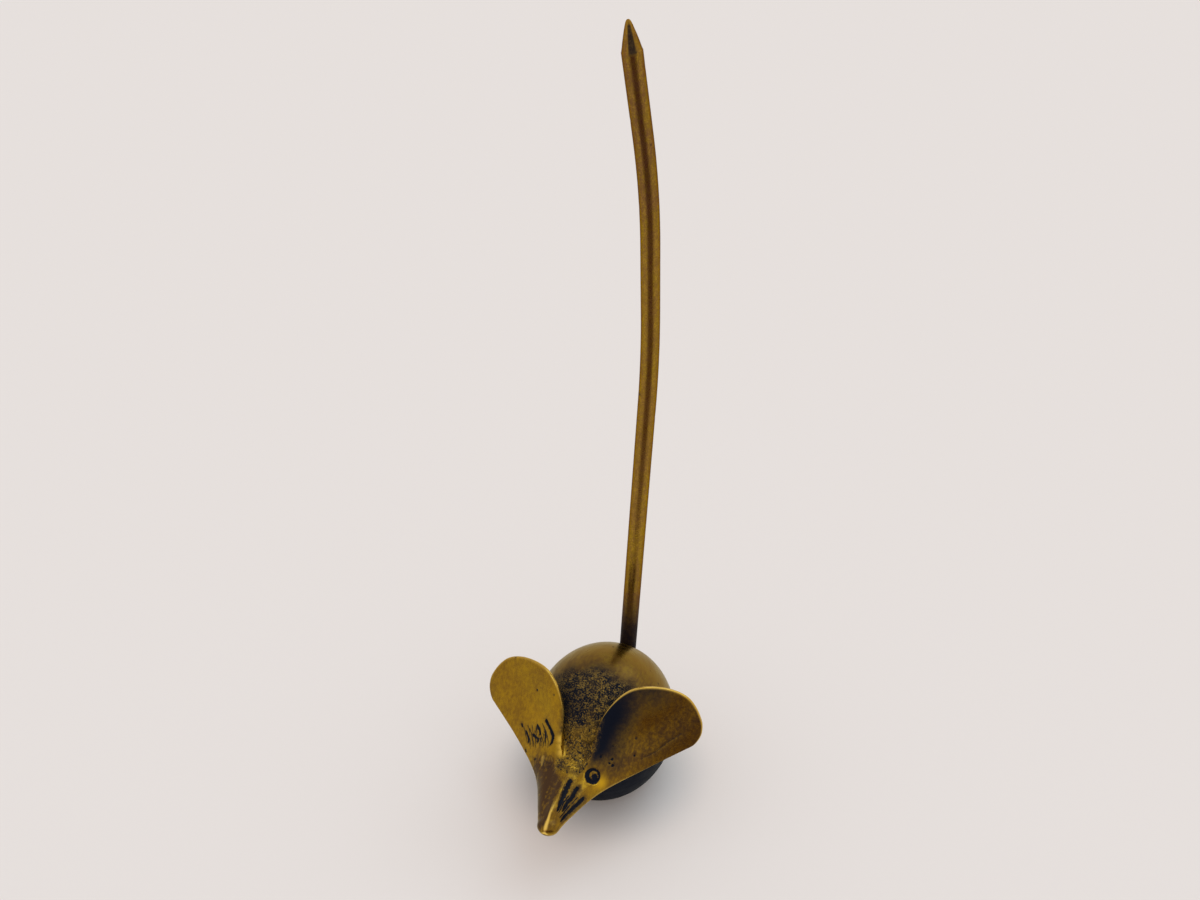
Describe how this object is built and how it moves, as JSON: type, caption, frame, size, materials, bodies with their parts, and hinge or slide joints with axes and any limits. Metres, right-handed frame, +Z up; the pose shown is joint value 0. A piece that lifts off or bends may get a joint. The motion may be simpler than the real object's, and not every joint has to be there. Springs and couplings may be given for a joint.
{
  "type": "bill spike",
  "caption": "Brass mouse bill spike: egg-shaped body on a flat foot, pointed head with large cupped ears, and a hand-bent rod tail with a turned point that papers are pushed on to.",
  "frame": {"origin": "on the table, under the middle of the body", "axes": "+Z up, the snout points to -Y, +X to the mouse's left"},
  "size_m": [0.0502, 0.0571, 0.1628],
  "materials": {
    "body_brass": "satin cast brass, dark patina in the stippled hollows",
    "head_brass": "satin brass, rubbed bright on the rims and the bridge of the nose",
    "rod_brass": "drawn and brushed brass, lightly tarnished"
  },
  "bodies": {
    "root": {"body": "body_brass", "head": "head_brass", "neck_dowel": "rod_brass", "spike": "rod_brass"}
  },
  "joints": []
}
